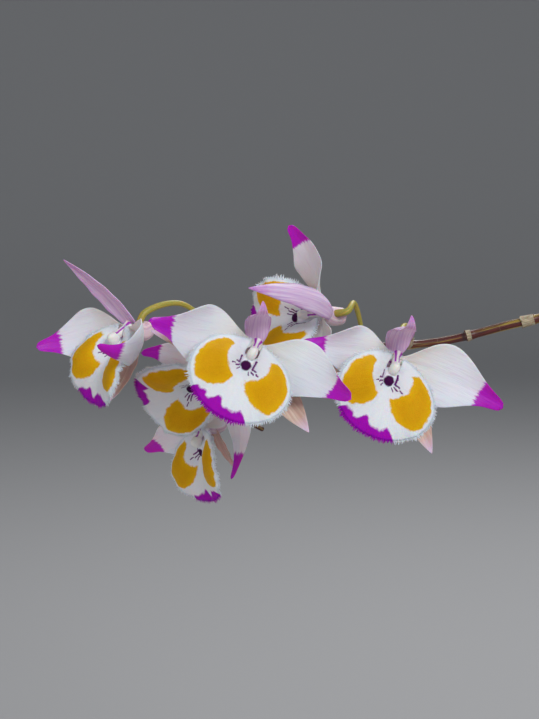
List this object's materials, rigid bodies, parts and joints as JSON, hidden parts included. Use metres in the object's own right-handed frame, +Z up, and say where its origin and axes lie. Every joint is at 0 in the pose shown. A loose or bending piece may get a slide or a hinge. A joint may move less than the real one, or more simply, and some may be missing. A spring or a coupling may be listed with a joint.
{
  "type": "potted dendrobium devonianum",
  "caption": "Orchid in a clay pot: a leafless cane arches over and carries a spray of fringed, yellow-blotched white flowers tipped with purple, beside older canes and leafy new growths.",
  "frame": {"origin": "middle of the pot's flat base, on the surface that it stands on", "axes": "+Z up; the flowering cane arches over to -X and its flowers look towards -Y"},
  "size_m": [0.3392, 0.1618, 0.2901],
  "materials": {
    "clay": "matte",
    "bark": "matte",
    "cane": "satin",
    "dry_cane": "matte",
    "leaf": "satin",
    "sepal": "satin",
    "petal": "satin",
    "lip": "matte",
    "pedicel": "satin"
  },
  "bodies": {
    "root": {"pot": "clay", "bark": "bark", "flowering_cane": "cane", "old_cane_right": "dry_cane", "old_cane_back": "dry_cane", "tall_shoot": "leaf", "small_shoot": "leaf", "flower_1_sepals": "sepal", "flower_1_petals": "petal", "flower_1_lip": "lip", "flower_1_pedicel": "pedicel", "flower_2_sepals": "sepal", "flower_2_petals": "petal", "flower_2_lip": "lip", "flower_2_pedicel": "pedicel", "flower_3_sepals": "sepal", "flower_3_petals": "petal", "flower_3_lip": "lip", "flower_3_pedicel": "pedicel", "flower_4_sepals": "sepal", "flower_4_petals": "petal", "flower_4_lip": "lip", "flower_4_pedicel": "pedicel", "flower_5_sepals": "sepal", "flower_5_petals": "petal", "flower_5_lip": "lip", "flower_5_pedicel": "pedicel", "flower_6_sepals": "sepal", "flower_6_petals": "petal", "flower_6_lip": "lip", "flower_6_pedicel": "pedicel"}
  },
  "joints": []
}
